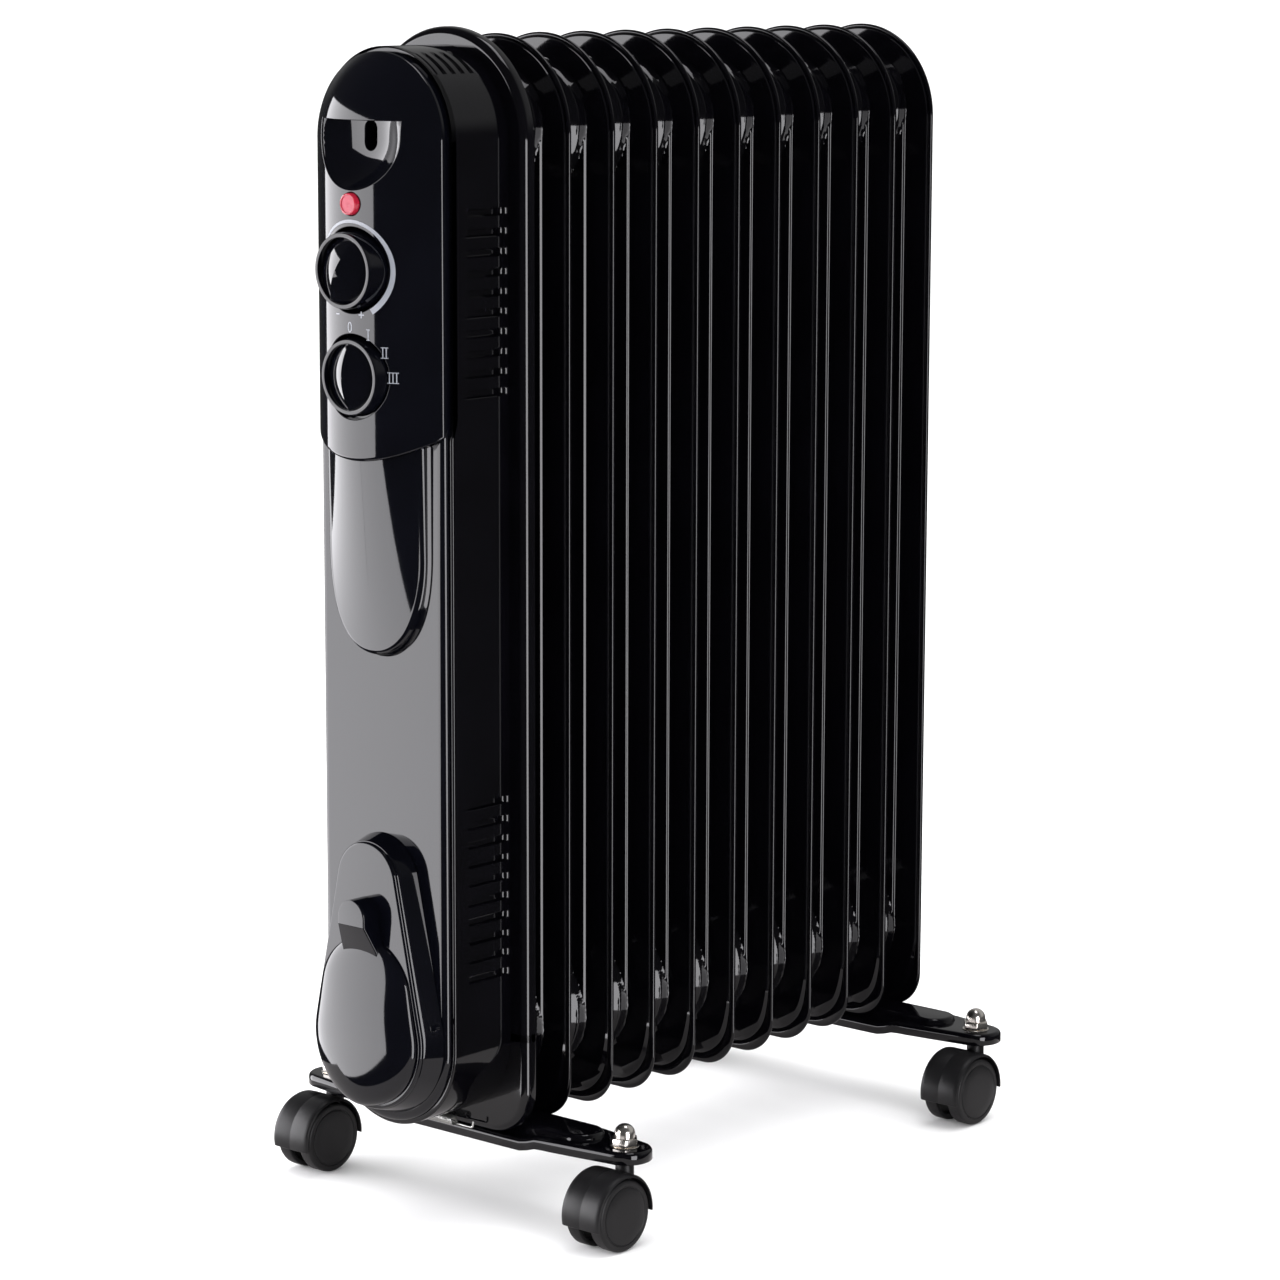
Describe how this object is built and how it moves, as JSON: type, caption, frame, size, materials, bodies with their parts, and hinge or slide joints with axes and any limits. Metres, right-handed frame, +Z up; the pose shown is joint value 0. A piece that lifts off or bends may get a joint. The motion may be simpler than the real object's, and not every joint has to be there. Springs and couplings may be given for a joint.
{
  "type": "oil filled radiator heater",
  "caption": "Portable oil filled radiator heater: a row of tall round-topped steel fins on cross feet with swivel casters, with a control panel and a cord winder at one end.",
  "frame": {"origin": "centre of the footprint, on the floor under the casters", "axes": "+Z up, -Y towards the control panel, X across the fins"},
  "size_m": [0.241, 0.432, 0.6227],
  "materials": {
    "black_paint": "gloss black stove enamel on pressed steel",
    "gloss_plastic": "polished black moulding",
    "matt_plastic": "satin black nylon",
    "nickel": "bright nickel plate",
    "zinc": "zinc plate",
    "steel": "drawn steel",
    "brass": "turned brass",
    "cream_plastic": "moulded heat-proof resin",
    "red_lens": "clear red moulding"
  },
  "bodies": {
    "base": {"fin_01": "black_paint", "fin_02": "black_paint", "fin_03": "black_paint", "fin_04": "black_paint", "fin_05": "black_paint", "fin_06": "black_paint", "fin_07": "black_paint", "fin_08": "black_paint", "fin_09": "black_paint", "fin_10": "black_paint", "fin_11": "black_paint", "element_flange": "brass", "element_upper": "steel", "element_lower": "steel", "filler_plug": "steel", "side_box": "black_paint", "control_panel": "gloss_plastic", "lower_fascia": "gloss_plastic", "winder_base": "gloss_plastic", "winder_cover": "gloss_plastic", "thermostat_body": "cream_plastic", "switch_body": "cream_plastic", "lamp_lens": "red_lens", "lamp_holder": "cream_plastic", "carrier_plate": "zinc", "terminal_block": "cream_plastic", "tip_over_switch": "matt_plastic", "thermal_cutout": "zinc", "foot_front": "black_paint", "foot_rear": "black_paint", "cover_spring": "zinc", "stud_front_left": "zinc", "nut_front_left": "nickel", "stud_front_right": "zinc", "nut_front_right": "nickel", "stud_rear_left": "zinc", "nut_rear_left": "nickel", "stud_rear_right": "zinc", "nut_rear_right": "nickel"},
    "knob_thermostat": {"knob_thermostat": "gloss_plastic"},
    "knob_switch": {"knob_switch": "gloss_plastic"},
    "caster_front_left": {"hood_front_left": "matt_plastic", "axle_front_left": "steel"},
    "wheel_front_left_outer": {"wheel_front_left_outer": "matt_plastic"},
    "wheel_front_left_inner": {"wheel_front_left_inner": "matt_plastic"},
    "caster_front_right": {"hood_front_right": "matt_plastic", "axle_front_right": "steel"},
    "wheel_front_right_outer": {"wheel_front_right_outer": "matt_plastic"},
    "wheel_front_right_inner": {"wheel_front_right_inner": "matt_plastic"},
    "caster_rear_left": {"hood_rear_left": "matt_plastic", "axle_rear_left": "steel"},
    "wheel_rear_left_outer": {"wheel_rear_left_outer": "matt_plastic"},
    "wheel_rear_left_inner": {"wheel_rear_left_inner": "matt_plastic"},
    "caster_rear_right": {"hood_rear_right": "matt_plastic", "axle_rear_right": "steel"},
    "wheel_rear_right_outer": {"wheel_rear_right_outer": "matt_plastic"},
    "wheel_rear_right_inner": {"wheel_rear_right_inner": "matt_plastic"}
  },
  "joints": [
    {"name": "thermostat_turn", "type": "hinge", "parent": "base", "child": "knob_thermostat", "pos_m": [0, -0.203, 0.50321], "axis": [0, 1, 0], "range_deg": [0, 300]},
    {"name": "switch_turn", "type": "hinge", "parent": "base", "child": "knob_switch", "pos_m": [0, -0.203, 0.44971], "axis": [0, 1, 0], "range_deg": [0, 90]},
    {"name": "swivel_front_left", "type": "hinge", "parent": "base", "child": "caster_front_left", "pos_m": [-0.10585, -0.116, 0.04], "axis": [0, 0, 1], "continuous": true},
    {"name": "roll_front_left_outer", "type": "hinge", "parent": "caster_front_left", "child": "wheel_front_left_outer", "pos_m": [-0.10585, -0.1295, 0.01871], "axis": [1, 0, 0], "continuous": true},
    {"name": "roll_front_left_inner", "type": "hinge", "parent": "caster_front_left", "child": "wheel_front_left_inner", "pos_m": [-0.10585, -0.1295, 0.01871], "axis": [1, 0, 0], "continuous": true},
    {"name": "swivel_front_right", "type": "hinge", "parent": "base", "child": "caster_front_right", "pos_m": [0.10585, -0.116, 0.04], "axis": [0, 0, 1], "continuous": true},
    {"name": "roll_front_right_outer", "type": "hinge", "parent": "caster_front_right", "child": "wheel_front_right_outer", "pos_m": [0.10585, -0.1295, 0.01871], "axis": [1, 0, 0], "continuous": true},
    {"name": "roll_front_right_inner", "type": "hinge", "parent": "caster_front_right", "child": "wheel_front_right_inner", "pos_m": [0.10585, -0.1295, 0.01871], "axis": [1, 0, 0], "continuous": true},
    {"name": "swivel_rear_left", "type": "hinge", "parent": "base", "child": "caster_rear_left", "pos_m": [-0.10585, 0.19, 0.04], "axis": [0, 0, 1], "continuous": true},
    {"name": "roll_rear_left_outer", "type": "hinge", "parent": "caster_rear_left", "child": "wheel_rear_left_outer", "pos_m": [-0.10585, 0.1765, 0.01871], "axis": [1, 0, 0], "continuous": true},
    {"name": "roll_rear_left_inner", "type": "hinge", "parent": "caster_rear_left", "child": "wheel_rear_left_inner", "pos_m": [-0.10585, 0.1765, 0.01871], "axis": [1, 0, 0], "continuous": true},
    {"name": "swivel_rear_right", "type": "hinge", "parent": "base", "child": "caster_rear_right", "pos_m": [0.10585, 0.19, 0.04], "axis": [0, 0, 1], "continuous": true},
    {"name": "roll_rear_right_outer", "type": "hinge", "parent": "caster_rear_right", "child": "wheel_rear_right_outer", "pos_m": [0.10585, 0.1765, 0.01871], "axis": [1, 0, 0], "continuous": true},
    {"name": "roll_rear_right_inner", "type": "hinge", "parent": "caster_rear_right", "child": "wheel_rear_right_inner", "pos_m": [0.10585, 0.1765, 0.01871], "axis": [1, 0, 0], "continuous": true}
  ]
}
